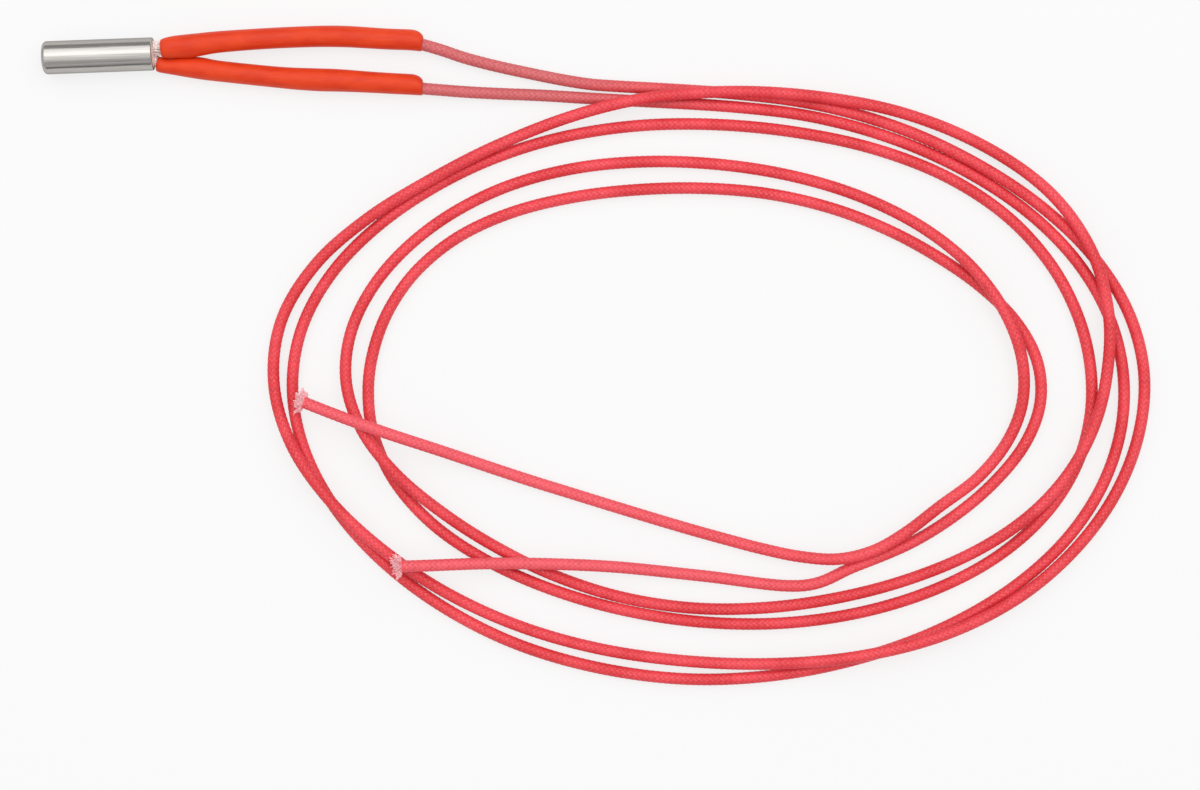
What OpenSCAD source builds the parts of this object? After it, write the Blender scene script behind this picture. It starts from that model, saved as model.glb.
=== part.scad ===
// Cartridge heater: a round steel sheath with a wound ceramic core inside, and two glass-braided leads
// that leave it through soft sleeves and lie wound together in a loose oval coil.
// Millimetres. +X runs along the sheath from its closed end to its leads, and +Z is up.
// The origin is the centre of the sheath's lead-end face.

/* [Sheath] */
// Outside diameter of the sheath tube
sheath_d = 6; // [5:0.5:10]
// Length of the sheath tube
sheath_l = 20; // [15:1:50]
// Wall of the sheath tube
sheath_wall = 0.5; // [0.4:0.05:0.7]
// Outside rounding of the rolled rim at the closed end
rim_round = 0.8; // [0.3:0.1:0.9]
// How far the rolled rim reaches in over the end disc
rim_lip = 0.5; // [0.3:0.1:0.8]
// Thickness of the rolled rim along the axis
rim_t = 0.5; // [0.4:0.1:1]
// Thickness of the end disc
disc_t = 0.8; // [0.5:0.1:2]
// Broken edge at the open end of the tube
mouth_chamfer = 0.15; // [0.05:0.05:0.3]

/* [Heating element] */
// Thickness of the insulating wafer under the core
wafer_t = 0.7; // [0.4:0.1:2]
// Wall of packed magnesia between the winding and the sheath
fill_wall = 0.35; // [0.2:0.05:0.5]
// Diameter of the resistance wire
wire_d = 0.3; // [0.2:0.05:0.4]
// Whole turns of the winding, which then runs half a turn further to the other pin
wire_turns = 15; // [8:1:18]
// Width and depth of the slots that take the ends of the winding to the pins
slot_w = 0.5; // [0.45:0.05:0.7]
// Diameter of the nickel pins
pin_d = 0.8; // [0.6:0.1:1]
// Ceramic left outside each pin hole
pin_wall = 0.2; // [0.15:0.05:0.25]
// Turn of the pair of pins about the axis of the sheath
pin_turn = 27; // [0:1:45]

/* [Lead end] */
// Depth of the seal inside the sheath
seal_l = 3; // [2:0.5:6]
// How far the seal bulges out of the sheath
seal_bulge = 0.3; // [0.2:0.1:0.5]
// Outside diameter of the glass sleeving on each pin
glass_d = 1.2; // [1.1:0.05:1.25]

/* [Sleeves] */
// Outside diameter of both sleeves beside the sheath
sleeve_near_d = 3.3; // [2.8:0.1:3.4]
// Outside diameter of sleeve A further out
sleeve_a_d = 3.8; // [3.4:0.1:4.2]
// Outside diameter of sleeve B further out
sleeve_b_d = 3.8; // [3.4:0.1:4.2]
// How far sleeve B swells over its crimp
sleeve_swell = 0.18; // [0:0.02:0.2]
// Wall of a sleeve
sleeve_wall = 0.4; // [0.3:0.05:0.45]
// Gap from the sheath to the near end of sleeve A
gap_a = 1.5; // [1.2:0.1:3]
// Gap from the sheath to the near end of sleeve B
gap_b = 0.9; // [0.8:0.1:3]
// Distance along the lead from the sheath to the far end of a sleeve
sleeve_end = 49; // [44:1:60]
// How far the edge of a sleeve draws in at its far end
mouth_draw = 0.15; // [0:0.05:0.2]

/* [Crimps] */
// Outside diameter of a crimp barrel
crimp_d = 2.2; // [1.8:0.1:2.4]
// Length of a crimp barrel
crimp_l = 7; // [5:0.5:8]
// Distance along the lead from the sheath to the middle of its crimp
crimp_at = 31; // [28:1:37]
// Depth of the two dimples pressed into a barrel
dimple = 0.3; // [0.1:0.05:0.4]
// Bare conductor left between a barrel and the lead's insulation
strip_l = 2; // [1:0.5:4]

/* [Leads] */
// Outside diameter of a braided lead
lead_d = 2.2; // [1.6:0.1:2.2]
// Diameter of the stranded conductor
conductor_d = 0.9; // [0.6:0.1:1]

/* [Coil] */
// Outside length of the oval coil
coil_length = 161; // [140:1:200]
// Outside width of the oval coil
coil_width = 113; // [100:1:140]
// Width of the band that the turns lie in
coil_band = 25; // [18:0.5:26]
// Height of the turns where they lie on each other
coil_height = 4.4; // [4:0.1:4.4]
// Bevel along the edges of the band
coil_bevel = 0.7; // [0.2:0.1:1]

/* [Hidden] */
$fn = 64;

// Clearance between pieces that seat in or on each other
fit = 0.02;
// Clearance between the faceted winding and the round walls beside it
wind_fit = 0.05;
// Clearance round the wires in a crimp barrel
crimp_fit = 0.08;
// Clearance round a pin in its glass sleeving
glass_fit = 0.08;
// How far a pin runs straight out of the seal before it bends, the distance along its lead at which it has
// reached the lead's path, and the spacing of its points from there
pin_stub = 0.4;
pin_meets = 3;
pin_step = 4;

// The surface that everything lies on
floor_z = -sheath_d / 2;

// Radii and places along the sheath, from the closed end to the leads
bore_r = sheath_d / 2 - sheath_wall;
lip_r = bore_r - rim_lip;
disc_x = -sheath_l + rim_t;
wafer_x = disc_x + disc_t;
core_x = wafer_x + wafer_t;
seal_x = -seal_l;
core_l = seal_x - core_x;
fill_in_r = bore_r - fit - fill_wall;
wire_r = fill_in_r - wind_fit - wire_d / 2;
core_r = wire_r - wire_d / 2 - wind_fit;
hole_r = pin_d / 2 + fit;
pin_off = core_r - pin_wall - hole_r;

// The two pins lie opposite each other, at this direction across the axis
across = [0, cos(pin_turn), sin(pin_turn)];
// How far the middles of the sleeves lie from the axis beside the sheath
near_off = sleeve_near_d / 2 + wind_fit;

// Where each sleeve starts to widen along its lead, and how long it takes
widen_a = [1, 7];
widen_b = [1, 9];
// How far along the lead the swelling over a crimp falls away on each side
swell_run = 6.5;
// The length over which a sleeve's far edge draws in
draw_run = 1.6;
// The two dimples of a crimp barrel, as shares of its length
dimple_places = [0.27, 0.73];

// Sides of the swept solids
sleeve_sides = 16;
round_sides = 8;
wire_sides = 6;
// Points on each turn of the winding
turn_points = 14;
// Longest step between the rings of a sleeve and of a lead
sleeve_step = 1.6;
lead_step = 2.5 * lead_d;

// Routes of the two leads from the sheath to the coil: x, y, and height above the surface
route_a = [
    [7.5, 1.6, 3.5], [12.5, 1.8, 3.05], [23.5, 2.15, 2.45], [33, 2.05, 2.1], [42, 1.3, 2], [49, 0.6, 1.95],
    [55, -1.6, 1.6], [61, -3.7, 1.3], [67, -5.5, 1.15], [73, -7, 1.15], [79, -8.2, 1.15], [85.25, -8.9, 1.15]
];
route_b = [
    [5, -2.4, 2.1], [12, -3.5, 2], [23, -5.05, 2.1], [29, -5.65, 2.15], [34, -6, 2.15], [42, -6.75, 2],
    [49, -7.4, 1.95], [57, -8.4, 1.5], [62.5, -9.1, 1.25], [67, -9.6, 1.15], [73, -10.2, 1.15],
    [79, -10.8, 1.15], [84.8, -11.35, 1.15]
];
// Routes of the two free ends, from the turns they leave to where they are cut
tail_a = [
    [139.8, -87.5, 5.55], [133.5, -91.9, 5.55], [127.5, -95, 5.55], [121, -96.3, 5.55], [114, -95.6, 5.55],
    [107, -93.9, 5.4], [101, -92.1, 4.3], [95, -90.2, 2.2], [89, -88.2, 1.2], [80, -85.1, 1.15],
    [72, -82.3, 1.15], [66, -80.2, 1.5], [60, -78, 3.3], [54, -75.7, 5.3], [48, -73.4, 5.55], [40, -70.4, 5.55],
    [32, -67.2, 5.55], [25, -64.2, 5.55]
];
tail_b = [[114, -101, 5.55], [96, -98.5, 5.55], [78, -96, 5.55], [60, -94.8, 5.55], [41.5, -94.6, 5.55]];

// The coil: its middle, the turn of its long axis, and the angle round it where the leads come in
coil_centre = [98.8, -62.2];
coil_turn = -4.5;
join_turn = 104;
// The step in the coil's outer edge that the two leads come in against: how far in from the edge it starts,
// how deep it is with room between the leads, and how far it leans to face them, in degrees round the oval
join_inset = 2;
join_room = 0.8;
join_step = 2 * lead_d + join_room;
join_lean = 1.1;
// The share of the turn by which the outer edge has run out to its full size, and those between which it
// comes in again
edge_out = 0.12;
edge_in = [0.78, 0.96];
// Points round the coil's outline
coil_points = 72;

// Smooth curve through points, with steps points in each span
function ghost(p, i) = i < 0 ? 2 * p[0] - p[1] : i >= len(p) ? 2 * p[len(p) - 1] - p[len(p) - 2] : p[i];
function span_point(p, i, t) =
    let (a = ghost(p, i - 1), b = p[i], c = p[i + 1], d = ghost(p, i + 2))
    (2 * b + (c - a) * t + (2 * a - 5 * b + 4 * c - d) * t * t + (3 * b - a - 3 * c + d) * t * t * t) / 2;
function curve(p, steps = 6) =
    concat([for (i = [0 : len(p) - 2], k = [0 : steps - 1]) span_point(p, i, k / steps)], [p[len(p) - 1]]);

// Distance along a path to each of its points, the point at a distance, and the whole length
function runs(p) =
    [for (i = 0, s = 0; i < len(p); s = s + (i + 1 < len(p) ? norm(p[i + 1] - p[i]) : 0), i = i + 1) s];
function at(p, s) =
    let (r = runs(p))
    [for (k = [0 : 2]) lookup(s, [for (i = [0 : len(p) - 1]) [r[i], p[i][k]]])];
function total(p) = let (r = runs(p)) r[len(r) - 1];
// The stretch of a path between two distances, in equal steps no longer than step
function stretch(p, from, to, step) =
    let (n = ceil((to - from) / step))
    [for (k = [0 : n]) at(p, from + (to - from) * k / n)];

// Direction of a path at each point, and a ring of points round it
function unit(v) = v / norm(v);
function heading(p, i) = unit(p[min(i + 1, len(p) - 1)] - p[max(i - 1, 0)]);
function ring(c, t, up, r, sides) =
    let (side = unit(cross(up, t)), rise = cross(t, side))
    [for (k = [0 : sides - 1]) c + r * (cos(360 * k / sides) * side + sin(360 * k / sides) * rise)];
function skin(rings, sides, first, inward) = [
    for (i = [0 : rings - 2], k = [0 : sides - 1])
        let (a = first + i * sides, b = a + sides, n = (k + 1) % sides)
        each inward ? [[a + k, a + n, b + k], [a + n, b + n, b + k]]
                    : [[a + k, b + k, a + n], [a + n, b + k, b + n]]
];

// A solid rod of one radius along a path
module rod(path, r, sides, up = [0, 0, 1]) {
    n = len(path);
    points = [for (i = [0 : n - 1]) each ring(path[i], heading(path, i), up, r, sides)];
    start = [for (k = [0 : sides - 1]) k];
    end = [for (k = [sides - 1 : -1 : 0]) (n - 1) * sides + k];
    polyhedron(points, concat(skin(n, sides, 0, false), [start, end]));
}

// A hollow tube along a path, with an outside and an inside radius at each point
module pipe(path, outer, inner, sides) {
    n = len(path);
    m = n * sides;
    points = [
        for (radii = [outer, inner], i = [0 : n - 1])
            each ring(path[i], heading(path, i), [0, 0, 1], radii[i], sides)
    ];
    ends = [
        for (k = [0 : sides - 1])
            let (j = (k + 1) % sides, e = m - sides)
            each [
                [k, j, m + k], [j, m + j, m + k],
                [e + k, m + e + k, e + j], [e + j, m + e + k, m + e + j]
            ]
    ];
    polyhedron(points, concat(skin(n, sides, 0, false), skin(n, sides, m, true), ends));
}

// Children drawn along +Z, laid along the sheath from x, or from one point to another
module along_sheath(x) {
    translate([x, 0, 0]) rotate([0, 90, 0]) children();
}
module from_to(p, q) {
    d = q - p;
    translate(p) rotate([0, acos(d.z / norm(d)), atan2(d.y, d.x)]) children();
}

// The path of a lead from the sheath to the coil, and of its pin: side is 1 for A and -1 for B
function raised(p) = [for (q = p) [q.x, q.y, floor_z + q.z]];
function lead_line(side) =
    curve(concat([side * near_off * across], raised(side > 0 ? route_a : route_b)));
line_a = lead_line(1);
line_b = lead_line(-1);
function pin_exit(side) = side * pin_off * across;
function pin_line(side, line) =
    curve([
        pin_exit(side), pin_exit(side) + [seal_bulge + pin_stub, 0, 0],
        for (s = [pin_meets : pin_step : crimp_at - pin_step / 2]) at(line, s), at(line, crimp_at - fit)
    ], 2);

function ease(u) = let (v = min(max(u, 0), 1)) v * v * (3 - 2 * v);
// Radius of a sleeve at a distance along its lead
function sleeve_r(s, far_d, widen, swell) =
    sleeve_near_d / 2 + (far_d - sleeve_near_d) / 2 * ease((s - widen[0]) / widen[1])
    + swell * exp(-pow((s - crimp_at) / swell_run, 2))
    - mouth_draw * ease((s - sleeve_end + draw_run) / draw_run);

module sheath() {
    corner = min(rim_round, sheath_d / 2 - lip_r);
    color("lightgray") along_sheath(-sheath_l) rotate_extrude() difference() {
        translate([lip_r, 0]) square([sheath_d / 2 - lip_r, sheath_l]);
        translate([lip_r - 1, rim_t]) square([bore_r - lip_r + 1, sheath_l]);
        translate([sheath_d / 2 - corner, 0]) difference() {
            translate([0, -1]) square([corner + 1, corner + 1]);
            translate([0, corner]) circle(corner);
        }
        translate([sheath_d / 2, sheath_l]) circle(mouth_chamfer, $fn = 4);
    }
}

module end_disc() {
    color("silver") along_sheath(disc_x) cylinder(r = bore_r - fit, h = disc_t);
}

module base_wafer() {
    color("beige") along_sheath(wafer_x) cylinder(r = bore_r - fit, h = wafer_t);
}

module magnesia_fill() {
    color("ivory") along_sheath(core_x) difference() {
        cylinder(r = bore_r - fit, h = core_l);
        translate([0, 0, -1]) cylinder(r = fill_in_r, h = core_l + 2);
    }
}

module ceramic_core() {
    color("whitesmoke") difference() {
        along_sheath(core_x) cylinder(r = core_r, h = core_l);
        for (side = [1, -1]) {
            translate(pin_exit(side)) along_sheath(core_x - 1) cylinder(r = hole_r, h = core_l + 2);
            // A slot across one end face takes each end of the winding to its pin.
            rotate([pin_turn + (side > 0 ? 0 : 180), 0, 0])
                translate([side > 0 ? seal_x - slot_w : core_x - 1, pin_off, -slot_w / 2])
                    cube([slot_w + 1, core_r, slot_w]);
        }
    }
}

// The winding runs from pin A, at the lead end of the core, to pin B, at its closed end.
module resistance_winding() {
    first_x = seal_x - slot_w / 2;
    last_x = core_x + slot_w / 2;
    steps = round((wire_turns + 0.5) * turn_points);
    function turn_of(k) = pin_turn + 360 * (wire_turns + 0.5) * k / steps;
    function place(k, r) =
        [first_x + (last_x - first_x) * k / steps, r * cos(turn_of(k)), r * sin(turn_of(k))];
    to_pin = pin_off + pin_d / 2 + fit;
    color("dimgray")
        rod(
            concat([place(0, to_pin)], [for (k = [0 : steps]) place(k, wire_r)], [place(steps, to_pin)]),
            wire_d / 2, wire_sides, [1, 0, 0]
        );
}

module lead_end_seal() {
    cap_r = (pow(bore_r - fit, 2) + pow(seal_bulge, 2)) / (2 * seal_bulge);
    color("linen") difference() {
        union() {
            along_sheath(seal_x) cylinder(r = bore_r - fit, h = seal_l);
            intersection() {
                along_sheath(seal_bulge - cap_r) sphere(r = cap_r);
                along_sheath(-seal_l / 2) cylinder(r = bore_r - fit, h = seal_l);
            }
        }
        for (side = [1, -1])
            translate(pin_exit(side))
                along_sheath(seal_x - 1) cylinder(r = hole_r, h = seal_l + seal_bulge + 2);
    }
}

// A pin is straight through the core and the seal, then bends to its lead's path and into the crimp.
module pin(side, line) {
    bent = pin_line(side, line);
    color("darkgray") {
        translate(pin_exit(side)) along_sheath(core_x) cylinder(d = pin_d, h = seal_bulge + pin_stub - core_x);
        rod([for (i = [1 : len(bent) - 1]) bent[i]], pin_d / 2 - fit / 2, round_sides);
    }
}
module pin_a() { pin(1, line_a); }
module pin_b() { pin(-1, line_b); }

// Glass sleeving covers a pin from where it bends to its crimp.
module glass_sleeving(side, line) {
    bent = pin_line(side, line);
    path = [for (i = [2 : len(bent) - 1]) if (runs(bent)[i] < crimp_at - crimp_l / 2 - fit) bent[i]];
    color("mistyrose")
        pipe(path, [for (p = path) glass_d / 2], [for (p = path) pin_d / 2 + glass_fit], round_sides);
}
module glass_sleeving_a() { glass_sleeving(1, line_a); }
module glass_sleeving_b() { glass_sleeving(-1, line_b); }

module crimp(line) {
    p = at(line, crimp_at - crimp_l / 2);
    q = at(line, crimp_at + crimp_l / 2);
    l = norm(q - p);
    bore_d = max(pin_d, conductor_d) + 2 * crimp_fit;
    dimple_r = crimp_d / 3;
    color("goldenrod") from_to(p, q) difference() {
        cylinder(d = crimp_d, h = l);
        translate([0, 0, -1]) cylinder(d = bore_d, h = l + 2);
        for (share = dimple_places)
            translate([-crimp_d / 2 - dimple_r + dimple, 0, share * l]) sphere(r = dimple_r);
    }
}
module crimp_a() { crimp(line_a); }
module crimp_b() { crimp(line_b); }

module conductor(line) {
    p = at(line, crimp_at + 4 * fit);
    q = at(line, crimp_at + crimp_l / 2 + strip_l - fit);
    color("tan") from_to(p, q) cylinder(d = conductor_d, h = norm(q - p));
}
module conductor_a() { conductor(line_a); }
module conductor_b() { conductor(line_b); }

module sleeve(line, gap, far_d, widen, swell) {
    n = ceil((sleeve_end - gap) / sleeve_step);
    places = [for (k = [0 : n]) gap + (sleeve_end - gap) * k / n];
    radii = [for (s = places) sleeve_r(s, far_d, widen, swell)];
    color("orangered")
        pipe([for (s = places) at(line, s)], radii, [for (r = radii) r - sleeve_wall], sleeve_sides);
}
module sleeve_a() { sleeve(line_a, gap_a, sleeve_a_d, widen_a, 0); }
module sleeve_b() { sleeve(line_b, gap_b, sleeve_b_d, widen_b, sleeve_swell); }

module lead_rod(line, from) {
    color("indianred") rod(stretch(line, from, total(line), lead_step), lead_d / 2, round_sides);
}
module lead_a() { lead_rod(line_a, crimp_at + crimp_l / 2 + strip_l); }
module lead_b() { lead_rod(line_b, crimp_at + crimp_l / 2 + strip_l); }
module lead_a_tail() { lead_rod(curve(raised(tail_a)), 0); }
module lead_b_tail() { lead_rod(curve(raised(tail_b)), 0); }

// A point of the coil's oval, by its angle round the oval and its distance in from the outer edge
function coil_point(t, inset) =
    let (x = (coil_length / 2 - inset) * cos(t), y = (coil_width / 2 - inset) * sin(t))
    coil_centre + [x * cos(coil_turn) - y * sin(coil_turn), x * sin(coil_turn) + y * cos(coil_turn)];

// The band of turns starts where the leads come in, and by the end of its turn lies inside them.
module coil_outline(bevel) {
    function outer_inset(share) =
        bevel + join_inset * (1 - ease(share / edge_out))
        + (join_inset + join_step) * ease((share - edge_in[0]) / (edge_in[1] - edge_in[0]));
    function turn_of(share) = join_turn - join_lean - (360 - join_lean) * share;
    shares = [for (k = [0 : coil_points]) k / coil_points];
    difference() {
        polygon([for (share = shares) coil_point(turn_of(share), outer_inset(share))]);
        polygon([for (share = shares) if (share > 0) coil_point(360 * share, coil_band - bevel)]);
    }
}

module lead_coil() {
    color("indianred") translate([0, 0, floor_z]) {
        linear_extrude(coil_height) coil_outline(coil_bevel);
        translate([0, 0, coil_bevel]) linear_extrude(coil_height - 2 * coil_bevel) coil_outline(0);
    }
}

sheath();
end_disc();
base_wafer();
magnesia_fill();
ceramic_core();
resistance_winding();
lead_end_seal();
pin_a();
pin_b();
glass_sleeving_a();
glass_sleeving_b();
crimp_a();
crimp_b();
conductor_a();
conductor_b();
sleeve_a();
sleeve_b();
lead_a();
lead_b();
lead_coil();
lead_a_tail();
lead_b_tail();
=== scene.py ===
"""Cartridge heater with two sleeved, glass-braided leads, lying wound in a loose oval coil."""
import math

import bpy
import numpy as np
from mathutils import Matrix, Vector


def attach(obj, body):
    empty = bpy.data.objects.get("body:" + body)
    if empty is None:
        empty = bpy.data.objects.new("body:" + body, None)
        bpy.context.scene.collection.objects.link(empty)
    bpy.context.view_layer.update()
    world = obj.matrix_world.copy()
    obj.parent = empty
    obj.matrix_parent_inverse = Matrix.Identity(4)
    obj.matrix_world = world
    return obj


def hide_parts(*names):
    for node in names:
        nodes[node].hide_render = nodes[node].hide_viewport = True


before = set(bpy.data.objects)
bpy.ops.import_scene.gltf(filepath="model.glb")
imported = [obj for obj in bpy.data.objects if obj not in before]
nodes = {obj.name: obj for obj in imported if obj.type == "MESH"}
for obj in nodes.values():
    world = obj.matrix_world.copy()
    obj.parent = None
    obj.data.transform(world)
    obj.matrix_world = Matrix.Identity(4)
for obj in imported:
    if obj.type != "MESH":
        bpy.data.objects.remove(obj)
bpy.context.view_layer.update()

MM = 0.001

# Sizes are in millimetres, in the part's frame: +X runs from the closed end to the leads, and the origin is
# at the middle of the lead-end face. A place along a lead is the distance from that face along its line

# Sheath
SHEATH_R = 3.0
SHEATH_L = 20.0
BORE_R = 2.5
LIP_R = 2.0
RIM_ROUND = 0.8
RIM_T = 0.5
MOUTH_CHAMFER = 0.15
EDGE_BREAK = 0.06
# How far the chamfer's outer edge is eased, along the barrel and into it
CHAMFER_EASE = (0.05, 0.015)
# Rings along the straight barrel, how far from its two ends they stop, points of the rim, and sides round it
BARREL_RINGS = 40
BARREL_ENDS = (1.0, 0.4)
RIM_POINTS = 14
SHEATH_SIDES = 96
FLOOR_Z = -SHEATH_R

# Pins: the turn of the pair about the axis, how far off it they leave the seal, how far they run straight,
# and the places along the leads that their sleeving then goes through
PIN_TURN = math.radians(27)
PIN_OFF = 1.11
PIN_STUB = 0.7
PIN_STEPS = [3, 7, 11, 15, 19, 23, 27]
SEAL_BULGE = 0.25
GLASS_R = 0.62

# Sleeves: radius beside the sheath, wall, far end, and how far off the axis their lines start. Each sleeve
# has its near end, its far radius, and where it starts to widen and over what length. Each swell or hollow
# has a height, a place and a reach along the lead, and the side it is on: 1 for +Y, -1 for -Y, or 0 for all
# round. Beside the sheath the soft sleeves press on each other, A over B
SLEEVE_NEAR_R = 1.65
SLEEVE_WALL = 0.4
SLEEVE_END = 49.0
NEAR_OFF = 1.7
SLEEVE_A = {
    "gap": 1.5, "far_r": 1.9, "widen": (1, 7),
    "swells": [
        (0.7, 5.6, 3.8, -1), (0.55, 1.8, 2, -1), (-0.5, 0.9, 2, 1), (-0.25, 6, 6, 1), (0.1, 10, 5, 0),
        (0.1, 34, 6, 1),
    ],
}
SLEEVE_B = {
    "gap": 0.5, "far_r": 1.9, "widen": (1, 9),
    "swells": [(-0.5, 2, 2, 1), (0.26, 8.2, 2.1, 1), (0.18, 31, 6.5, 0)],
}
SLEEVE_STEP = 0.25
SLEEVE_RINGS = 110
SLEEVE_SIDES = 40
LIP_ROUND = 0.16
LIP_POINTS = 7
NEAR_ROUND = 0.15
NEAR_ROUND_RUN = 1.0
# The far mouth bends in towards the lead, most of all on its +Y side, and its bore closes on the lead: where
# that starts and over what length
MOUTH_RUN = 2.2
MOUTH_DRAW = 1.3
MOUTH_BEND = 0.98
MOUTH_LEAN = 0.45
MOUTH_FALL = 1.5
MOUTH_R = 1.15
BORE_CLOSES = (41, 5)
# The lead leaves the mouth low on its -Y side and comes back to its line: where each starts and its length
LEAD_SAG = 0.6
SAG_STARTS = (42, 5)
SAG_ENDS = (52, 20)

# Leads: where they start inside the sleeves, and the spacing of the points taken from their lines and of the
# finished cords' points
LEAD_D = 2.2
LEAD_START = 36.5
LEAD_STEP = 4
CORD_STEP = 1.0

# Routes of the two leads from the sheath to the coil: x, y, and height above the surface
ROUTE_A = [
    (7.5, 1.6, 3.5), (12.5, 1.8, 3.05), (23.5, 2.15, 2.45), (33, 2.05, 2.1), (42, 1.3, 2), (49, 0.6, 1.95),
    (55, -1.6, 1.6), (61, -3.7, 1.3), (67, -5.5, 1.15), (73, -7, 1.15), (79, -8.2, 1.15),
    (85.25, -8.9, 1.15),
]
ROUTE_B = [
    (5, -2.4, 2.1), (12, -3.5, 2), (23, -5.05, 2.1), (29, -5.65, 2.15), (34, -6, 2.15), (42, -6.75, 2),
    (49, -7.4, 1.95), (57, -8.4, 1.5), (62.5, -9.1, 1.25), (67, -9.6, 1.15), (73, -10.2, 1.15),
    (79, -10.8, 1.15), (84.8, -11.35, 1.15),
]
# Routes of the two free ends, seen from above, from the turns they leave to where they are cut
TAIL_A = [
    (139.8, -87.5), (133.5, -91.9), (127.5, -95), (121, -96.3), (114, -95.6), (107, -93.9), (101, -92.1),
    (95, -90.2), (89, -88.2), (80, -85.1), (72, -82.3), (66, -80.2), (60, -78), (54, -75.7), (48, -73.4),
    (40, -70.4), (32, -67.2), (25, -64.2),
]
TAIL_B = [(114, -101), (96, -98.5), (78, -96), (60, -94.8), (41.5, -94.6)]

# The oval coil, with angles round it in degrees, and how far in from its outer edge each lead lies: where it
# joins, and then at every eighth of a turn, clockwise from the top
COIL_CENTRE = (98.8, -62.2)
COIL_HALF = (80.5, 56.5)
COIL_TURN = math.radians(-4.5)
COIL_TOP = 90
COIL_EIGHTH = 45
COIL_JOIN = 103
COIL_STEP = 12
INSETS_A = [
    3.15, 4.8, 4.0, 1.4, 1.3, 3.8, 4.6, 1.4, 7.6,
    4.8, 1.3, 8.5, 12.5, 14.5, 16.5, 14.0, 15.5,
    18.0, 20.5, 23.0, 23.3,
]
INSETS_B = [
    5.4, 7.2, 6.4, 4.2, 3.5, 1.4, 1.6, 5.0, 10.0,
    10.2, 9.2, 11.0, 9.5, 11.5, 13.5, 19.0, 20.0,
    22.0, 23.3, 20.2, 19.8, 17.0,
]
# Angles at which the turns start and stop, before the free ends take over
TURNS_A = (88, -750)
TURNS_B = (88, -783)
# How far the hand-wound turns wander from those insets, the share and rate of each of its waves, and the
# angle over which it starts and stops
WANDER = 0.4
WANDER_WAVES = ((1.0, 2.3), (0.6, 5.3))
WANDER_EASE = 40

# The hump in which a lead passes over what lies under it, in points of the cord: half its level top, how far
# it reaches each way and how far it is smoothed
HUMP_TOP = 3
HUMP_REACH = 26
HUMP_BLUR = 6
# How many of its own points each way a lead doesn't lie on, and the rounds of lifting until it all rests
OWN_POINTS = 8
DRAPE_ROUNDS = 10

# Braid: columns of yarns that slant to and fro round the lead, the length that each yarn takes along it, how
# far it slants and stands out, and the mesh's rings to a yarn and sides to a column. The pins' sleeving
# is finer
BRAID_COLUMNS = 14
BRAID_PITCH = 1.0
YARN_SLANT = 0.75
YARN_RELIEF = 0.07
RINGS_PER_YARN = 3
SIDES_PER_COLUMN = 2
SLEEVING_PITCH = 0.6
SLEEVING_RELIEF = 0.05

# Frayed yarns at the cut ends, rooted a little way back in the lead, and the fluff between seal and sleeve,
# which is a little longer than its gap
CUT_END = {"Count": 340, "Edge": 1.0, "Length": 2.0, "Spread": 1.6, "Thickness": 0.08, "Curl": 2.4}
CUT_ROOT = 0.4
FLUFF = {"Count": 340, "Edge": 1.25, "Spread": 0.15, "Thickness": 0.06, "Curl": 0.5}
FLUFF_START = 0.15
FLUFF_OVER = 0.1
FLUFF_SEED = 31
# Points along a yarn, sides round it, the shortest as a share of the longest, and swirls to the metre
YARN_POINTS = 6
YARN_SIDES = 5
YARN_SHORTEST = 0.35
SWIRLS = 900.0

# The photograph's frame: what lies at its middle, how wide it is, and how far the sheath is turned in it
VIEW_MIDDLE = (78.8, -64.9)
VIEW_WIDTH = 218.0
VIEW_TURN = math.radians(-2.1)

# Stage, in metres: half the floor's side, the share of plain white that the eye and the steel see in it, and
# the softbox
FLOOR_HALF = 12.0
FLOOR_WHITE = 0.75
SOFTBOX_AT = (0.06, 0.277, 0.543)
SOFTBOX_SIZE = (1.1, 0.6)
SOFTBOX_POWER = 1.75
# The tent's light by the angle of a direction towards +Y and towards +Z, the darker of which holds
TENT_Y = (
    (-90, 0.18), (-77, 0.18), (-66, 0.75), (-58, 0.75), (-48, 0.42), (-37, 0.7), (-23, 1.1), (0, 1.4),
    (20, 1.3), (55, 0.5), (74, 0.4), (90, 0.4),
)
TENT_Z = ((0, 0.62), (20, 0.62), (30, 0.75), (45, 0.88), (70, 1.4))


# Paths

def catmull(points, per_span=12):
    """A smooth curve through points, the same curve that the part's source draws."""
    p = np.asarray(points, float)
    p = np.vstack([2 * p[0] - p[1], p, 2 * p[-1] - p[-2]])
    t = (np.arange(per_span) / per_span)[:, None]
    spans = []
    for a, b, c, d in zip(p[:-3], p[1:-2], p[2:-1], p[3:]):
        spans.append(
            (2 * b + (c - a) * t + (2 * a - 5 * b + 4 * c - d) * t**2 + (3 * b - a - 3 * c + d) * t**3) / 2
        )
    return np.vstack(spans + [p[-2][None]])


def runs(path):
    """Distance along a path to each of its points."""
    return np.concatenate([[0], np.cumsum(np.linalg.norm(np.diff(path, axis=0), axis=1))])


def taken(path, values, at):
    """What is given at each point of a path, taken at the given distances along it."""
    s = runs(path)
    return np.stack([np.interp(at, s, column) for column in values.T], axis=1)


def places(path, at):
    """Points at the given distances along a path."""
    return taken(path, path, at)


def resample(path, step):
    """Points at equal steps along a path."""
    end = runs(path)[-1]
    return places(path, np.linspace(0, end, max(2, round(end / step) + 1)))


def ease(u):
    """A smooth step from 0 to 1."""
    v = np.clip(u, 0, 1)
    return v * v * (3 - 2 * v)


def across(side, off):
    """A point of the pair's line across the axis, with side 1 for lead A and -1 for lead B."""
    return np.array((0, side * off * math.cos(PIN_TURN), SHEATH_R + side * off * math.sin(PIN_TURN)))


def lead_line(side, route):
    """Path of a lead from the sheath to the coil."""
    return catmull([across(side, NEAR_OFF)] + route)


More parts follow.
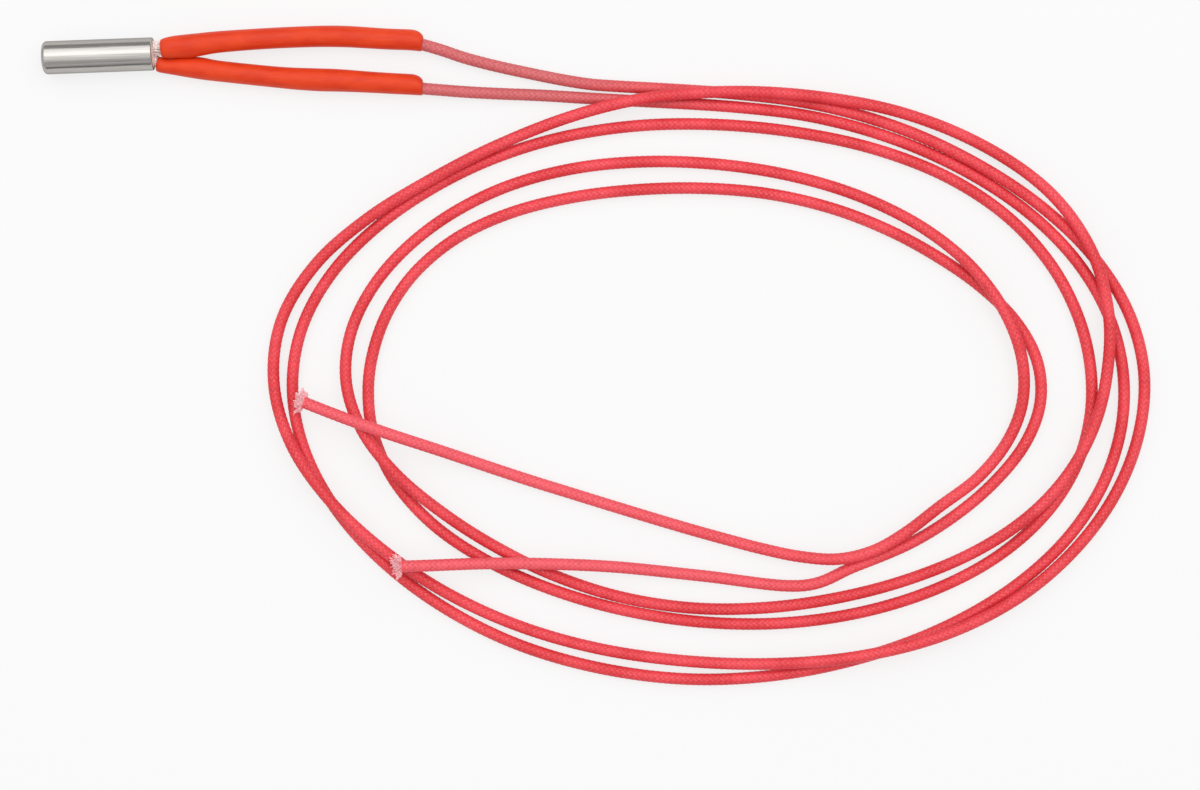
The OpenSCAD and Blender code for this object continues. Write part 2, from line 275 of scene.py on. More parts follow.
def sleeving_path(side, line):
    """Path of the sleeving on a pin: straight out of the seal, then along the lead's line."""
    start = across(side, PIN_OFF)
    stub = [start + (SEAL_BULGE, 0, 0), start + (PIN_STUB, 0, 0)]
    return catmull(np.vstack([stub, places(line, PIN_STEPS)]), per_span=6)


def coil_point(angle, inset):
    """A point of the oval, at an angle round it and a distance in from its edge."""
    x = (COIL_HALF[0] - inset) * math.cos(math.radians(angle))
    y = (COIL_HALF[1] - inset) * math.sin(math.radians(angle))
    c, s = math.cos(COIL_TURN), math.sin(COIL_TURN)
    return (COIL_CENTRE[0] + x * c - y * s, COIL_CENTRE[1] + x * s + y * c)


def coil_turns(insets, first, last):
    """Points of a lead's turns, clockwise, moving between its insets at the eighths of a turn."""
    stations = [COIL_JOIN] + [COIL_TOP - COIL_EIGHTH * k for k in range(len(insets) - 1)]
    smooth = catmull([(-q, i) for q, i in zip(stations, insets)])
    angles = np.linspace(first, last, round((first - last) / COIL_STEP) + 1)
    lanes = np.interp(-angles, smooth[:, 0], smooth[:, 1])
    settled = ease((first - angles) / WANDER_EASE) * ease((angles - last) / WANDER_EASE)
    turn = np.radians(angles)
    waves = sum(
        share * np.sin(rate * turn + k * insets[1]) for k, (share, rate) in enumerate(WANDER_WAVES, 1)
    )
    lanes = np.maximum(lanes + WANDER * settled * waves, LEAD_D / 2)
    return [coil_point(a, inset) for a, inset in zip(angles, lanes)]


def sag(s):
    """How far a lead lies low in its sleeve's mouth, by the place along it."""
    start, start_run = SAG_STARTS
    end, end_run = SAG_ENDS
    return LEAD_SAG * ease((s - start) / start_run) * (1 - ease((s - end) / end_run))


def cord_path(line, turns, insets, tail):
    """A lead from inside its sleeve to its cut end, at the heights of its route and then on the surface."""
    at = np.arange(LEAD_START, runs(line)[-1], LEAD_STEP)
    lead_in = places(line, at)
    lead_in[:, 1] -= sag(at)
    lying = [(x, y, LEAD_D / 2) for x, y in coil_turns(insets, *turns) + tail]
    return resample(catmull(np.vstack([lead_in, lying])), CORD_STEP)


def drape(cords):
    """Lays the cords down from their sleeves on, each lifting in a long low hump over what lies under it."""
    points = np.vstack(cords)
    order = np.concatenate([np.arange(len(c)) for c in cords])
    cord_of = np.concatenate([np.full(len(c), k) for k, c in enumerate(cords)])
    gap = np.linalg.norm(points[:, None, :2] - points[None, :, :2], axis=2)
    beside = (cord_of[:, None] == cord_of[None]) & (np.abs(order[:, None] - order[None]) < OWN_POINTS)
    laid = order + cord_of / len(cords)
    later = laid[:, None] > laid[None]
    upper, lower = np.nonzero((gap < LEAD_D) & later & ~beside)
    rise = np.sqrt(LEAD_D**2 - gap[upper, lower] ** 2)
    rest = points[:, 2].copy()

    reach = np.arange(-HUMP_REACH, HUMP_REACH + 1)
    fall = np.clip((np.abs(reach) - HUMP_TOP) / (HUMP_REACH - HUMP_TOP), 0, 1)
    hump = np.cos(fall * math.pi / 2) ** 2
    blur = np.exp(-0.5 * (np.arange(-HUMP_BLUR, HUMP_BLUR + 1) / (HUMP_BLUR / 3)) ** 2)
    blur /= blur.sum()
    height = rest.copy()
    for _ in range(DRAPE_ROUNDS):
        need = rest.copy()
        np.maximum.at(need, upper, height[lower] + rise)
        for k in range(len(cords)):
            mine = cord_of == k
            lift = (need - rest)[mine]
            padded = np.pad(lift, HUMP_REACH)
            shifted = [padded[HUMP_REACH + o: HUMP_REACH + o + len(lift)] for o in reach]
            raised = np.max(hump[:, None] * shifted, axis=0)
            smooth = np.convolve(np.pad(raised, HUMP_BLUR, mode="edge"), blur, mode="valid")
            height[mine] = rest[mine] + smooth
    points[:, 2] = height
    return [points[cord_of == k] for k in range(len(cords))]


# Meshes

def to_part(points):
    """Millimetres with height above the surface, as metres in the part's frame."""
    return (np.asarray(points, float) + (0, 0, FLOOR_Z)) * MM


def link(obj):
    bpy.context.scene.collection.objects.link(obj)
    return obj


def new_piece(name, verts, faces, uvs=None):
    """A smooth-shaded piece, with UVs where they are given."""
    mesh = bpy.data.meshes.new(name)
    mesh.from_pydata([tuple(v) for v in verts], [], faces)
    if uvs is not None:
        layer = mesh.uv_layers.new(name="weave")
        layer.data.foreach_set("uv", np.asarray(uvs, np.float32).ravel())
    mesh.polygons.foreach_set("use_smooth", [True] * len(mesh.polygons))
    mesh.update()
    return link(bpy.data.objects.new(name, mesh))


def unit(vectors):
    """A vector, or each of several, at length 1."""
    return vectors / np.linalg.norm(vectors, axis=-1, keepdims=True)


def sides_along(path):
    """Sideways and upward unit vectors at each point of a path that runs mostly level."""
    ahead = unit(np.gradient(path, axis=0))
    side = unit(np.cross((0, 0, 1), ahead))
    return side, np.cross(ahead, side)


def spread_angles(sides):
    return np.arange(sides) * 2 * math.pi / sides


def ring_points(centres, radii, side, up):
    """Rings of points round centres, with a radius for each ring and side."""
    angle = spread_angles(radii.shape[1])
    spokes = side[:, None] * np.cos(angle)[:, None] + up[:, None] * np.sin(angle)[:, None]
    return centres[:, None] + radii[..., None] * spokes


def ring_faces(rings, sides, closed=False):
    """Faces between rings of points, and their UVs counted in sides and rings."""
    faces, uvs = [], []
    for i in range(rings if closed else rings - 1):
        a, b = i * sides, (i + 1) % rings * sides
        for k in range(sides):
            n = (k + 1) % sides
            faces.append((a + k, a + n, b + n, b + k))
            uvs += [(k, i), (k + 1, i), (k + 1, i + 1), (k, i + 1)]
    return faces, uvs


def braided_tube(name, path, r, pitch, relief):
    """A closed tube of outside radius r with a herringbone of raised yarns.

    Its UVs count columns and yarns, and its share runs from 0 to 1 along it.
    """
    fine = resample(catmull(path, per_span=4), pitch / RINGS_PER_YARN)
    rings, sides = len(fine), BRAID_COLUMNS * SIDES_PER_COLUMN
    i, k = np.indices((rings, sides))
    zigzag = 1 - np.abs(1 - (k / SIDES_PER_COLUMN) % 2)
    height = 0.5 + 0.5 * np.cos(2 * math.pi * (i / RINGS_PER_YARN + YARN_SLANT * zigzag))
    verts = ring_points(fine, r - relief * (1 - height), *sides_along(fine)).reshape(-1, 3)
    faces, uvs = ring_faces(rings, sides)
    for first, turn in ((0, -1), ((rings - 1) * sides, 1)):
        loop = list(range(first, first + sides))[::turn]
        faces.append(tuple(loop))
        uvs += [(v - first, first // sides) for v in loop]
    tube = new_piece(name, to_part(verts), faces, np.array(uvs) / (SIDES_PER_COLUMN, RINGS_PER_YARN))
    share = tube.data.attributes.new("share", "FLOAT", "POINT")
    share.data.foreach_set("value", np.repeat(np.linspace(0, 1, rings), sides).astype(np.float32))
    return tube


def sleeve_skin(name, line, gap, far_r, widen, swells):
    """A soft sleeve over a lead's crimp: outer skin, rounded lips, and a bore that closes on the lead."""
    lip_turn = np.linspace(0, math.pi, LIP_POINTS)[1:-1]
    outer_s = np.linspace(gap + LIP_ROUND, SLEEVE_END - LIP_ROUND, SLEEVE_RINGS)
    far_s = SLEEVE_END - LIP_ROUND + LIP_ROUND * np.sin(lip_turn)
    near_s = gap + LIP_ROUND - LIP_ROUND * np.sin(lip_turn)
    half = (1 - np.cos(lip_turn)) / 2
    s = np.concatenate([outer_s, far_s, outer_s[::-1], near_s])
    inward = np.concatenate([0 * outer_s, half, 0 * outer_s + 1, 1 - half])

    fine = resample(line, SLEEVE_STEP)
    centre = places(fine, s)
    side, up = (unit(taken(fine, v, s)) for v in sides_along(fine))
    angle = spread_angles(SLEEVE_SIDES)
    outer_r = SLEEVE_NEAR_R + (far_r - SLEEVE_NEAR_R) * ease((s - widen[0]) / widen[1])
    outer_r = outer_r - NEAR_ROUND * (1 - ease((s - gap) / NEAR_ROUND_RUN)) ** 2
    bulge = np.zeros((len(s), SLEEVE_SIDES))
    for high, place, reach, toward in swells:
        share = (1 + toward * np.cos(angle)) / (1 + abs(toward))
        bulge += high * np.exp(-(((s - place) / reach) ** 2))[:, None] * share
    bend_in = np.clip((s - SLEEVE_END + MOUTH_RUN) / MOUTH_RUN, 0, 1)
    draw = MOUTH_DRAW * (1 - np.sqrt(1 - MOUTH_BEND * bend_in**2))
    high_side = (1 - MOUTH_LEAN + MOUTH_LEAN * np.cos(angle)) ** MOUTH_FALL
    outer = ring_points(centre, outer_r[:, None] + bulge - draw[:, None] * high_side, side, up)

    start, run = BORE_CLOSES
    closing = ease((s - start) / run)[:, None]
    bore_r = np.maximum(outer_r[:, None] - SLEEVE_WALL + np.minimum(bulge, 0), GLASS_R)
    low = centre - sag(s)[:, None] * (0, 1, 0)
    inner = ring_points(low, bore_r + (MOUTH_R - bore_r) * closing, side, up)

    verts = outer + inward[:, None, None] * (inner - outer)
    faces, uvs = ring_faces(len(s), SLEEVE_SIDES, closed=True)
    return new_piece(name, to_part(verts.reshape(-1, 3)), faces, uvs)


def corner(before, at, after, r, points=5):
    """Points of a round corner of radius r in an outline that turns square at a point."""
    a = unit(np.subtract(before, at, dtype=float))
    b = unit(np.subtract(after, at, dtype=float))
    turn = np.linspace(0, math.pi / 2, points)[:, None]
    return np.asarray(at) + r * (a * (1 - np.sin(turn)) + b * (1 - np.cos(turn)))


def sheath_shell():
    """The steel tube, turned from its section: rolled rim, chamfered mouth and bore, edges broken."""
    rim = (-SHEATH_L, LIP_R)
    outside = (-SHEATH_L, SHEATH_R)
    mouth_out = (0, SHEATH_R - MOUTH_CHAMFER)
    mouth_in = (0, BORE_R)
    bore_end = (-SHEATH_L + RIM_T, BORE_R)
    rim_in = (-SHEATH_L + RIM_T, LIP_R)
    barrel = np.linspace(-SHEATH_L + BARREL_ENDS[0], -BARREL_ENDS[1], BARREL_RINGS)
    back, under = CHAMFER_EASE
    section = np.vstack([
        corner(rim_in, rim, outside, EDGE_BREAK),
        corner(rim, outside, (0, SHEATH_R), RIM_ROUND, RIM_POINTS),
        [(x, SHEATH_R) for x in barrel],
        [(-MOUTH_CHAMFER - back, SHEATH_R), (-MOUTH_CHAMFER, SHEATH_R - under), mouth_out],
        corner(mouth_out, mouth_in, bore_end, EDGE_BREAK),
        [bore_end],
        [rim_in],
    ])
    angle = spread_angles(SHEATH_SIDES)
    x = np.repeat(section[:, :1], SHEATH_SIDES, axis=1)
    y = section[:, 1:] * np.cos(angle)
    z = section[:, 1:] * np.sin(angle)
    faces, _ = ring_faces(len(section), SHEATH_SIDES, closed=True)
    return new_piece("sheath_shell", np.stack([x, y, z], axis=2).reshape(-1, 3) * MM, faces)


# Materials

class Finish:
    """A material and its node tree. Inputs are given by name, as a number, a colour or a node's output."""

    def __init__(self, name, **shader):
        self.mat = bpy.data.materials.new(name)
        self.mat.use_nodes = True
        self.tree = self.mat.node_tree
        self.shader = self.tree.nodes["Principled BSDF"]
        self.set(**shader)

    def set(self, **shader):
        self.fill(self.shader, {k.replace("_", " "): v for k, v in shader.items()})
        return self.mat

    def fill(self, node, inputs):
        for key, value in inputs.items():
            socket = node.inputs[key]
            if isinstance(value, bpy.types.NodeSocket):
                self.tree.links.new(value, socket)
            else:
                socket.default_value = value

    def node(self, kind, inputs=None, **settings):
        made = self.tree.nodes.new("ShaderNode" + kind)
        for key, value in settings.items():
            setattr(made, key, value)
        self.fill(made, inputs or {})
        return made

    def math(self, operation, a, b=0.0):
        return self.node("Math", {0: a, 1: b}, operation=operation).outputs[0]

    def ramp(self, value, low, high, from_value=0.0, to_value=1.0):
        """A value carried smoothly from one range to another."""
        inputs = {
            "Value": value, "From Min": low, "From Max": high, "To Min": from_value, "To Max": to_value,
        }
        return self.node("MapRange", inputs, interpolation_type="SMOOTHSTEP").outputs[0]

    def mix(self, share, low, high):
        """A colour between two, by the share of the second."""
        made = self.node("Mix", data_type="RGBA")
        self.fill(made, {0: share, 6: low, 7: high})
        return made.outputs[2]

    def noise(self, stretch, detail=3.0, roughness=0.5, seed=0.0):
        """Noise over the piece's own millimetres, stretched to a scale along each axis."""
        place = self.node("TexCoord").outputs["Object"]
        scale = tuple(v / MM for v in stretch)
        turned = self.node("Mapping", {"Vector": place, "Scale": scale, "Location": (seed,) * 3})
        inputs = {"Vector": turned.outputs[0], "Scale": 1.0, "Detail": detail, "Roughness": roughness}
        return self.node("TexNoise", inputs).outputs[0]

    def weave(self):
        """The braid's place along the lead in yarns, the yarns' phase and crown, and the columns' seams."""
        uv = self.node("UVMap", uv_map="weave").outputs[0]
        xyz = self.node("SeparateXYZ", {0: uv}).outputs
        zigzag = self.math("MULTIPLY", self.math("PINGPONG", xyz[0], 1.0), YARN_SLANT)
        phase = self.math("MULTIPLY", self.math("ADD", xyz[1], zigzag), 2 * math.pi)
        crown = self.ramp(self.math("COSINE", phase), -1.0, 1.0)
        seam = self.math("ABSOLUTE", self.math("SINE", self.math("MULTIPLY", xyz[0], math.pi)))
        return xyz[1], phase, crown, seam

    def bump(self, height, distance, strength, under=None):
        """A bump of some millimetres, laid over another where one is given."""
        inputs = {"Height": height, "Distance": distance * MM, "Strength": strength}
        if under is not None:
            inputs["Normal"] = under
        return self.node("Bump", inputs).outputs[0]


def rgb(red, green, blue):
    """A colour as it shows on screen, 0 to 255, as the linear colour that a shader takes."""
    def linear(c):
        c /= 255
        return c / 12.92 if c <= 0.04045 else ((c + 0.055) / 1.055) ** 2.4
    return (linear(red), linear(green), linear(blue), 1.0)


def glass_braid():
    """Red-lacquered glass braid: slanting flecked yarns, dusty by the sleeves and chafed by the cut ends,
    with painted shade in the hollows between the yarns and along the columns' seams.
    """
    f = Finish("glass_braid", Specular_IOR_Level=0.7)
    along, phase, crown, seam = f.weave()
    fade = f.noise((0.12, 0.12, 0.12), detail=4)
    grain = f.noise((3.2, 3.2, 3.2), detail=3, roughness=0.65, seed=4)
    lacquer = f.mix(f.ramp(fade, 0.35, 0.68), rgb(225, 38, 49), rgb(242, 62, 74))
    share = f.node("Attribute", attribute_name="share").outputs["Fac"]
    chafed = f.mix(f.ramp(share, 0.88, 0.96, 0.0, 0.85), lacquer, rgb(245, 88, 100))
    dusty = f.mix(f.ramp(along, 32, 72), rgb(210, 95, 98), chafed)
    clear = f.ramp(f.noise((0.9, 0.9, 0.9), detail=3, seed=8), 0.36, 0.7, 0.08, 0.44)
    # Painted shade: where the yarns dip between their crowns, broken up by noise, and faintly along the
    # columns' seams
    painted_shade_between_yarns = f.math("MULTIPLY", f.ramp(crown, 0.55, 0.0), clear)
    painted_shade_in_hollows = f.math("MAXIMUM", painted_shade_between_yarns, f.ramp(seam, 0.3, 0.0, 0.0, 0.15))
    # The painted shade takes the colour three quarters of the way to a dark red
    yarn = f.mix(painted_shade_in_hollows, dusty, f.mix(0.75, dusty, rgb(120, 8, 18)))
    fleck = f.math("MULTIPLY", f.ramp(grain, 0.5, 0.75, 0.0, 0.45), f.ramp(crown, 0.3, 0.9))
    f.set(Base_Color=f.mix(fleck, yarn, rgb(255, 150, 154)))
    f.set(Roughness=f.ramp(crown, 0.0, 1.0, 0.68, 0.44))
    filaments = f.bump(f.math("SINE", f.math("MULTIPLY", phase, 4.0)), 0.01, 0.4)
    return f.set(Normal=f.bump(grain, 0.04, 0.5, f.bump(crown, 0.03, 0.4, filaments)))


def silicone():
    """Soft orange-red sleeve: satin, faintly mottled, with fine draw lines along it and small pores."""
    f = Finish("silicone", Specular_IOR_Level=0.3)
    mottle = f.noise((0.22, 0.5, 0.5), detail=4)
    lines = f.noise((0.25, 5, 5), detail=3, seed=7)
    pores = f.noise((9, 9, 9), detail=2, seed=2)
    body = f.mix(f.ramp(mottle, 0.3, 0.7), rgb(216, 52, 12), rgb(228, 65, 20))
    f.set(Base_Color=f.mix(f.ramp(lines, 0.5, 0.8, 0.0, 0.25), body, rgb(245, 97, 50)))
    f.set(Roughness=f.ramp(mottle, 0.3, 0.7, 0.4, 0.52))
    return f.set(Normal=f.bump(pores, 0.012, 0.35, f.bump(lines, 0.02, 0.2)))


def stainless():
    """Drawn steel tube: fine scratches along it, small dull patches and a surface that isn't quite even."""
    f = Finish("stainless", Metallic=1.0, Specular_Tint=(0.55, 0.55, 0.55, 1.0))
    scratches = f.noise((0.12, 7, 7), detail=4, roughness=0.6)
    handling = f.noise((0.35, 0.6, 0.6), detail=3, seed=5)
    waves = f.noise((0.12, 0.3, 0.3), detail=1, seed=9)
    f.set(Base_Color=f.mix(f.ramp(scratches, 0.3, 0.7), rgb(176, 173, 169), rgb(194, 190, 186)))
    scratched = f.ramp(scratches, 0.3, 0.75, 0.13, 0.25)
    f.set(Roughness=f.math("ADD", scratched, f.ramp(handling, 0.55, 0.8, 0.0, 0.08)))
    return f.set(Normal=f.bump(scratches, 0.004, 0.5, f.bump(waves, 0.25, 0.25)))


def mineral(name, dark, light, grain_scale, rough):
    """A pressed or fired mineral: two close tones, grain and a dry surface."""
    f = Finish(name, Specular_IOR_Level=0.3)
    grain = f.noise((grain_scale,) * 3, detail=5, roughness=0.65)
    stain = f.noise((0.5, 0.5, 0.5), detail=2, seed=3)
    tone = f.math("ADD", f.math("MULTIPLY", grain, 0.6), f.math("MULTIPLY", stain, 0.4))
    f.set(Base_Color=f.mix(f.ramp(tone, 0.35, 0.65), dark, light))
    f.set(Roughness=f.ramp(grain, 0.3, 0.7, rough, rough - 0.15))
    return f.set(Normal=f.bump(grain, 0.06, 0.6))


def wire_metal(name, dark, light, rough):
    """Drawn wire or pin: metallic, with a thin uneven oxide."""
    f = Finish(name, Metallic=1.0)
    oxide = f.noise((1.5, 1.5, 1.5), detail=4)
    drawn = f.noise((0.3, 12, 12), detail=2, seed=6)
    f.set(Base_Color=f.mix(f.ramp(oxide, 0.35, 0.65), dark, light))
    f.set(Roughness=f.ramp(oxide, 0.3, 0.7, rough, rough + 0.15))
    return f.set(Normal=f.bump(drawn, 0.006, 0.5))


def glass_sleeving():
    """Bare woven glass: off-white yarns with a pink stain from the sleeve over them, and painted shade in
    the hollows between the yarns.
    """
    f = Finish("glass_sleeving", Sheen_Weight=0.2, Specular_IOR_Level=0.3)
    _, _, crown, _ = f.weave()
    stain = f.noise((0.9, 0.9, 0.9), detail=3)
    yarn = f.mix(f.ramp(stain, 0.4, 0.65), rgb(244, 226, 220), rgb(236, 176, 168))
    # Painted shade: away from the yarns' crowns the colour is mixed towards a darker pink-brown
    f.set(Base_Color=f.mix(f.ramp(crown, 0.0, 0.5), rgb(190, 140, 132), yarn))
    f.set(Roughness=f.ramp(crown, 0.0, 1.0, 0.85, 0.65))
    return f.set(Normal=f.bump(f.noise((14, 14, 14)), 0.02, 0.5))


def loose_yarn(name, root, tip, tip_stained):
    """Frayed glass yarn: one colour at its root, whitening to its broken tip."""
    f = Finish(name, Sheen_Weight=0.2, Specular_IOR_Level=0.3)
    along = f.node("Attribute", attribute_name="along").outputs["Fac"]
    clump = f.noise((2.2, 2.2, 2.2), detail=2)
    tips = f.mix(f.ramp(clump, 0.4, 0.62), tip, tip_stained)
    f.set(Base_Color=f.mix(f.ramp(along, 0.0, 0.5), root, tips))
    return f.set(Roughness=f.ramp(clump, 0.3, 0.7, 0.6, 0.8))


finishes = {
    "stainless": stainless(),
    "ceramic": mineral("ceramic", rgb(222, 214, 200), rgb(240, 235, 224), 3, 0.6),
    "magnesia": mineral("magnesia", rgb(206, 200, 186), rgb(232, 228, 216), 6, 0.9),
    "seal": mineral("seal", rgb(206, 186, 176), rgb(238, 226, 216), 4, 0.85),
    "nichrome": wire_metal("nichrome", rgb(92, 86, 80), rgb(140, 132, 122), 0.35),
    "nickel": wire_metal("nickel", rgb(150, 144, 134), rgb(190, 184, 174), 0.28),
    "tinned_copper": wire_metal("tinned_copper", rgb(176, 150, 130), rgb(206, 198, 190), 0.3),
    "glass_sleeving": glass_sleeving(),
    "silicone": silicone(),
    "glass_braid": glass_braid(),
}
cut_yarn = loose_yarn("cut_yarn", rgb(246, 120, 128), rgb(255, 216, 218), rgb(255, 172, 180))
bare_yarn = loose_yarn("bare_yarn", rgb(248, 234, 229), rgb(254, 248, 245), rgb(250, 222, 215))


# Frayed yarns

def fray_tree():
    """Loose yarns that stand on a round end, along +Z, and are then turned and moved to their place."""
    tree = bpy.data.node_groups.new("fray", "GeometryNodeTree")
    sockets = tree.interface
    for name, kind in (
        ("Count", "Int"), ("Edge", "Float"), ("Length", "Float"), ("Spread", "Float"),
        ("Thickness", "Float"), ("Curl", "Float"), ("Seed", "Int"), ("Place", "Vector"),
        ("Turn", "Rotation"), ("Finish", "Material"),
    ):
        sockets.new_socket(name, in_out="INPUT", socket_type="NodeSocket" + kind)
    sockets.new_socket("Yarns", in_out="OUTPUT", socket_type="NodeSocketGeometry")
    given = tree.nodes.new("NodeGroupInput").outputs

    def node(kind, inputs=None, **settings):
        made = tree.nodes.new(kind)
        for key, value in settings.items():
            setattr(made, key, value)
        for key, value in (inputs or {}).items():
            if isinstance(value, bpy.types.NodeSocket):
                tree.links.new(value, made.inputs[key])
            else:
                made.inputs[key].default_value = value
        return made.outputs

    def geometry(kind, inputs, **settings):
        return node("GeometryNode" + kind, inputs, **settings)[0]

    def number(operation, a, b=0.0):
        return node("ShaderNodeMath", {0: a, 1: b}, operation=operation)[0]

    def chance(low, high, shift):
        """A random number for each yarn, drawn apart from the others by a shift of the seed."""
        seed = number("ADD", given["Seed"], float(shift))
        return node("FunctionNodeRandomValue", {2: low, 3: high, "Seed": seed}, data_type="FLOAT")[1]

    def scaled(vector, by):
        return node("ShaderNodeVectorMath", {0: vector, "Scale": by}, operation="SCALE")[0]

    def added(a, b):
        return node("ShaderNodeVectorMath", {0: a, 1: b}, operation="ADD")[0]

    angle = chance(0.0, 2 * math.pi, 1)
    outward = node("ShaderNodeCombineXYZ", {0: number("COSINE", angle), 1: number("SINE", angle)})[0]
    foot = scaled(scaled(outward, number("SQRT", chance(0.0, 1.0, 2))), given["Edge"])
    points = geometry("Points", {"Count": given["Count"], "Position": foot})
    lean = added(scaled(scaled(outward, given["Spread"]), chance(0.0, 1.0, 3)), (0, 0, 1))
    aimed = node("FunctionNodeAlignRotationToVector", {"Vector": lean}, axis="Z")[0]
    size = number("MULTIPLY", given["Length"], chance(YARN_SHORTEST, 1.0, 4))
    straight = geometry("CurvePrimitiveLine", {"End": (0, 0, 1)})
    yarn = geometry("ResampleCurve", {"Curve": straight, "Count": YARN_POINTS})
    standing = {"Points": points, "Instance": yarn, "Rotation": aimed, "Scale": size}
    loose = geometry("RealizeInstances", {0: geometry("InstanceOnPoints", standing)})

    share = node("GeometryNodeSplineParameter")["Factor"]
    along = {"Geometry": loose, "Name": "along", "Value": share}
    marked = geometry("StoreNamedAttribute", along, data_type="FLOAT", domain="POINT")
    swirl = node("ShaderNodeTexNoise", {"Scale": SWIRLS, "Detail": 1.0})["Color"]
    off = scaled(added(swirl, (-0.5, -0.5, -0.5)), given["Curl"])
    curled = geometry("SetPosition", {"Geometry": marked, "Offset": scaled(off, share)})
    ring = geometry("CurvePrimitiveCircle", {"Resolution": YARN_SIDES, "Radius": given["Thickness"]})
    solid = geometry("CurveToMesh", {"Curve": curled, "Profile Curve": ring, "Fill Caps": True})
    moved = {"Geometry": solid, "Translation": given["Place"], "Rotation": given["Turn"]}
    whole = geometry("RealizeInstances", {0: geometry("Transform", moved)})
    smooth = geometry("SetShadeSmooth", {0: whole})
    done = geometry("SetMaterial", {"Geometry": smooth, "Material": given["Finish"]})
    tree.links.new(done, tree.nodes.new("NodeGroupOutput").inputs[0])
    return tree


def frayed(name, tree, finish, place, ahead, **sizes):
    """Loose yarns at a point, along a direction, as a plain mesh. Sizes are in millimetres."""
    maker = link(bpy.data.objects.new(name + "_maker", bpy.data.meshes.new(name + "_maker")))
    modifier = maker.modifiers.new("fray", "NODES")
    modifier.node_group = tree
    turn = Vector(ahead).to_track_quat("Z", "Y").to_euler()
    values = dict(sizes, Place=tuple(place), Finish=finish, Turn=turn)
    for item in tree.interface.items_tree:
        if item.in_out == "INPUT":
            value = values[item.name]
            length = item.name in ("Edge", "Length", "Thickness", "Curl")
            modifier[item.identifier] = value * MM if length else value
    graph = bpy.context.evaluated_depsgraph_get()
    mesh = bpy.data.meshes.new_from_object(maker.evaluated_get(graph))
    mesh.name = name
    bpy.data.objects.remove(maker)
    return link(bpy.data.objects.new(name, mesh))


# Leads

line_a = lead_line(1, ROUTE_A)
line_b = lead_line(-1, ROUTE_B)
paths = drape([
    cord_path(line_a, TURNS_A, INSETS_A, TAIL_A),
    cord_path(line_b, TURNS_B, INSETS_B, TAIL_B),
])
fray = fray_tree()

for letter, path, line, swap, seed in (
    ("a", paths[0], line_a, ("lead_a", "lead_a_tail", "lead_coil"), 11),
    ("b", paths[1], line_b, ("lead_b", "lead_b_tail"), 23),
):
    cord = braided_tube("lead_cord_" + letter, path, LEAD_D / 2, BRAID_PITCH, YARN_RELIEF)
    cord.data.materials.append(finishes["glass_braid"])
    ahead = path[-1] - path[-3]
    root = path[-1] - CUT_ROOT * ahead / np.linalg.norm(ahead)
    tuft = frayed("cut_end_" + letter, fray, cut_yarn, to_part(root), ahead, Seed=seed, **CUT_END)
    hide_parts(*swap)
    for piece in (cord, tuft):
        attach(piece, "root")


# Sheath, sleeves and what shows between them

def dress(piece, slot, *swap):
    """Gives a piece its finish, and puts it on the part in place of the nodes it stands for."""
    piece.data.materials.append(finishes[slot])
    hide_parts(*swap)
    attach(piece, "root")


dress(sheath_shell(), "stainless", "sheath")
for letter, side, line, sizes in (("a", 1, line_a, SLEEVE_A), ("b", -1, line_b, SLEEVE_B)):
    dress(sleeve_skin("sleeve_skin_" + letter, line, **sizes), "silicone", "sleeve_" + letter)
    sleeving = braided_tube(
        "sleeving_" + letter, sleeving_path(side, line), GLASS_R, SLEEVING_PITCH, SLEEVING_RELIEF
    )
    dress(sleeving, "glass_sleeving", "glass_sleeving_" + letter)
    foot = to_part(across(side, PIN_OFF) + (FLUFF_START, 0, 0))
    fluff = frayed(
        "sleeving_fray_" + letter, fray, bare_yarn, foot, (1, 0, 0),
        Length=sizes["gap"] + FLUFF_OVER, Seed=FLUFF_SEED + side, **FLUFF,
    )
    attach(fluff, "root")

slots = {
    "end_disc": "stainless", "base_wafer": "ceramic", "magnesia_fill": "magnesia",
    "ceramic_core": "ceramic", "resistance_winding": "nichrome", "lead_end_seal": "seal",
    "pin_a": "nickel", "pin_b": "nickel", "crimp_a": "tinned_copper", "crimp_b": "tinned_copper",
    "conductor_a": "tinned_copper", "conductor_b": "tinned_copper",
}
for name, slot in slots.items():
    nodes[name].data.materials.clear()
    nodes[name].data.materials.append(finishes[slot])


# Stage

def floor():
    """A pale sheet. The eye and the steel see it whiter than it is, with its shadows lighter."""
    mesh = bpy.data.meshes.new("floor")
    z = FLOOR_Z * MM
    corners = [(x * FLOOR_HALF, y * FLOOR_HALF, z) for x, y in ((-1, -1), (1, -1), (1, 1), (-1, 1))]
    mesh.from_pydata(corners, [], [(0, 1, 2, 3)])
    f = Finish("floor", Roughness=0.9, Specular_IOR_Level=0.1)
    tone = f.noise((0.004, 0.004, 0.004), detail=2)
    f.set(Base_Color=f.mix(tone, (0.74, 0.74, 0.74, 1), (0.78, 0.78, 0.78, 1)))
    rays = f.node("LightPath").outputs
    by_way_of_pieces = f.math("ADD", rays["Is Glossy Ray"], rays["Is Transmission Ray"])
    seen = f.math("MINIMUM", f.math("ADD", rays["Is Camera Ray"], by_way_of_pieces), 1.0)
    glow = f.node("Emission", {"Color": (1.0, 1.0, 1.0, 1)}).outputs[0]
    share = f.math("MULTIPLY", seen, FLOOR_WHITE)
    sheet = f.node("MixShader", {0: share, 1: f.shader.outputs[0], 2: glow}).outputs[0]
    f.tree.links.new(sheet, f.tree.nodes["Material Output"].inputs["Surface"])
    mesh.materials.append(f.mat)
    link(bpy.data.objects.new("floor", mesh))


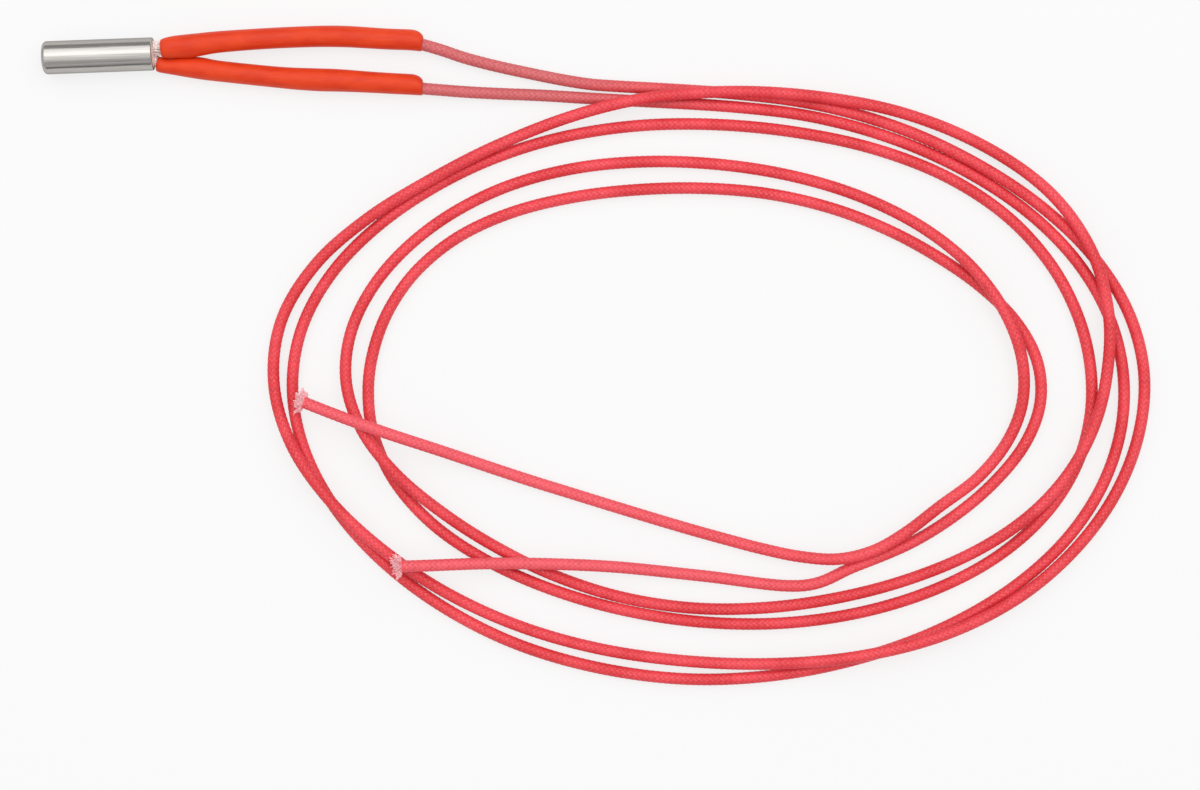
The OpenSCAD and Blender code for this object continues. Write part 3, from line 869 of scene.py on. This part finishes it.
def camera():
    """Looks straight down, as the photograph does."""
    cam = bpy.data.cameras.new("camera")
    cam.lens = 85
    cam.sensor_width = 36
    obj = link(bpy.data.objects.new("camera", cam))
    away = cam.lens / cam.sensor_width * VIEW_WIDTH
    obj.location = Vector((VIEW_MIDDLE[0], VIEW_MIDDLE[1], away)) * MM
    obj.rotation_euler = (0, 0, VIEW_TURN)
    bpy.context.scene.camera = obj


def tent():
    """A white tent, darker low down and on its two long sides."""
    world = bpy.data.worlds.new("tent")
    bpy.context.scene.world = world
    world.use_nodes = True
    tree = world.node_tree
    split = tree.nodes.new("ShaderNodeSeparateXYZ")
    tree.links.new(tree.nodes.new("ShaderNodeTexCoord").outputs["Generated"], split.inputs[0])

    def tones(axis, stops):
        """Light levels by the angle of a direction towards one axis."""
        spread = tree.nodes.new("ShaderNodeMapRange")
        spread.inputs["From Min"].default_value = -1
        tree.links.new(split.outputs[axis], spread.inputs["Value"])
        ramp = tree.nodes.new("ShaderNodeValToRGB")
        for k, (degrees, level) in enumerate(stops):
            at = (math.sin(math.radians(degrees)) + 1) / 2
            stop = ramp.color_ramp.elements[k] if k < 2 else ramp.color_ramp.elements.new(at)
            stop.position = at
            stop.color = (level, level, level, 1)
        tree.links.new(spread.outputs[0], ramp.inputs[0])
        return ramp.outputs[0]

    darker = tree.nodes.new("ShaderNodeMix")
    darker.data_type = "RGBA"
    darker.blend_type = "DARKEN"
    darker.inputs[0].default_value = 1.0
    tree.links.new(tones("Y", TENT_Y), darker.inputs[6])
    tree.links.new(tones("Z", TENT_Z), darker.inputs[7])
    tree.links.new(darker.outputs[2], tree.nodes["Background"].inputs["Color"])


def softbox():
    """One large lamp over the +Y side, aimed at the sheath."""
    lamp = bpy.data.lights.new("softbox", "AREA")
    lamp.shape = "RECTANGLE"
    lamp.size, lamp.size_y = SOFTBOX_SIZE
    lamp.energy = SOFTBOX_POWER
    obj = link(bpy.data.objects.new("softbox", lamp))
    obj.location = SOFTBOX_AT
    obj.rotation_euler = Vector(SOFTBOX_AT).to_track_quat("Z", "Y").to_euler()


floor()
camera()
tent()
softbox()
bpy.context.scene.view_settings.view_transform = "Standard"
